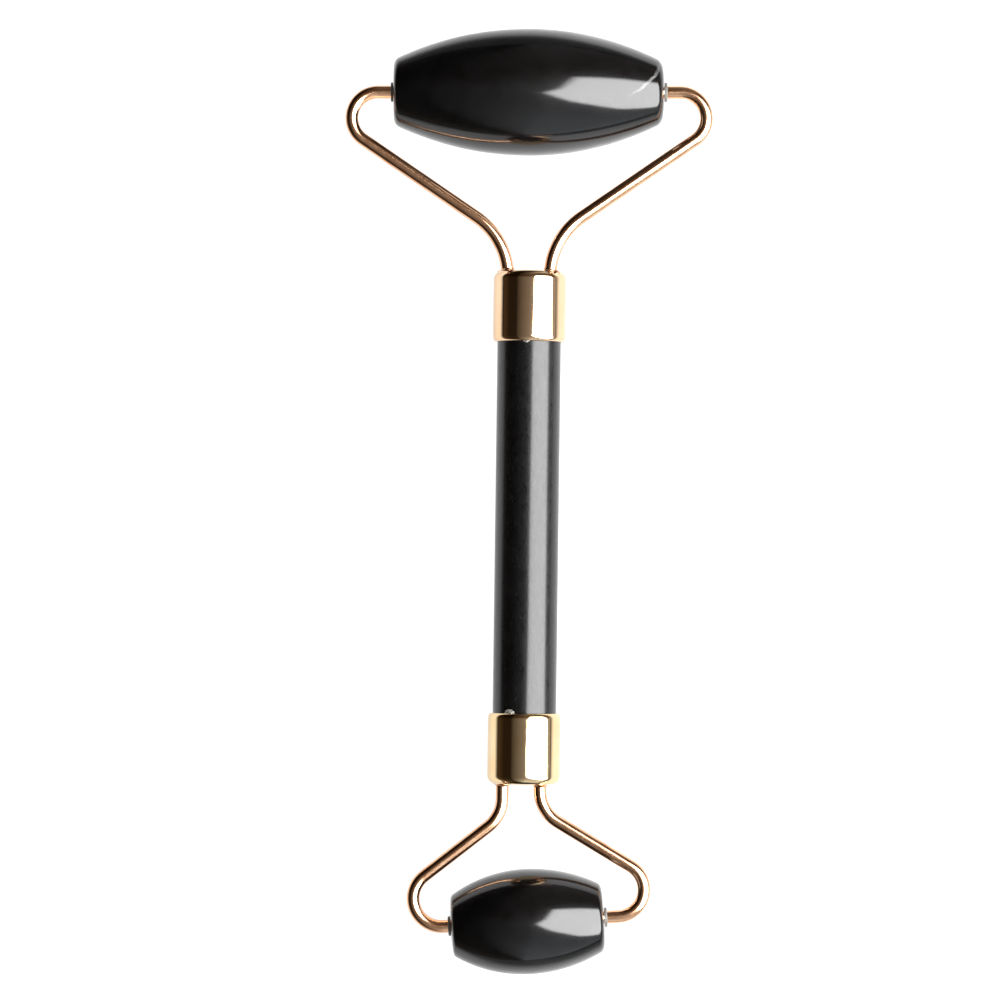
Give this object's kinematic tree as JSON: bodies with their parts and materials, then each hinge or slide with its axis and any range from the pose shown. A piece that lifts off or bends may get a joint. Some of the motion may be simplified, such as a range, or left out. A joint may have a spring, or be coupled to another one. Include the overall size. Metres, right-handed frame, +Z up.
{
  "type": "two-ended stone face roller",
  "caption": "Hand massage roller: a slim black grip rod with a plated wire yoke at each end, each yoke holding a free-spinning barrel of polished black stone, one wide and one small.",
  "frame": {"origin": "middle of the footprint, on the surface that both stones rest on", "axes": "+X across the stones, +Y along the grip towards the large stone, +Z up from the table"},
  "size_m": [0.0564, 0.1452, 0.0195],
  "materials": {
    "black_stone": "high polish",
    "black_rod": "satin polish with a fine grain",
    "plated_metal": "bright rose-gold plating",
    "plated_wire": "bright rose-gold plating on drawn wire",
    "sleeve_plastic": "translucent natural nylon",
    "cured_resin": "clear cured epoxy"
  },
  "bodies": {
    "handle": {"handle_rod": "black_rod", "large_end_ferrule": "plated_metal", "small_end_ferrule": "plated_metal", "large_yoke": "plated_wire", "small_yoke": "plated_wire", "large_end_resin_plug": "cured_resin", "small_end_resin_plug": "cured_resin"},
    "large_roller": {"large_roller_stone": "black_stone", "large_roller_bush_left": "sleeve_plastic", "large_roller_bush_right": "sleeve_plastic"},
    "small_roller": {"small_roller_stone": "black_stone", "small_roller_bush_left": "sleeve_plastic", "small_roller_bush_right": "sleeve_plastic"}
  },
  "joints": [
    {"name": "large_roller_spin", "type": "hinge", "parent": "handle", "child": "large_roller", "pos_m": [-0.00005, 0.06281, 0.00975], "axis": [0.9999, 0.0119, 0.0002], "continuous": true},
    {"name": "small_roller_spin", "type": "hinge", "parent": "handle", "child": "small_roller", "pos_m": [0.00137, -0.06444, 0.0081], "axis": [0.9976, 0.0694, 0.0009], "continuous": true}
  ]
}
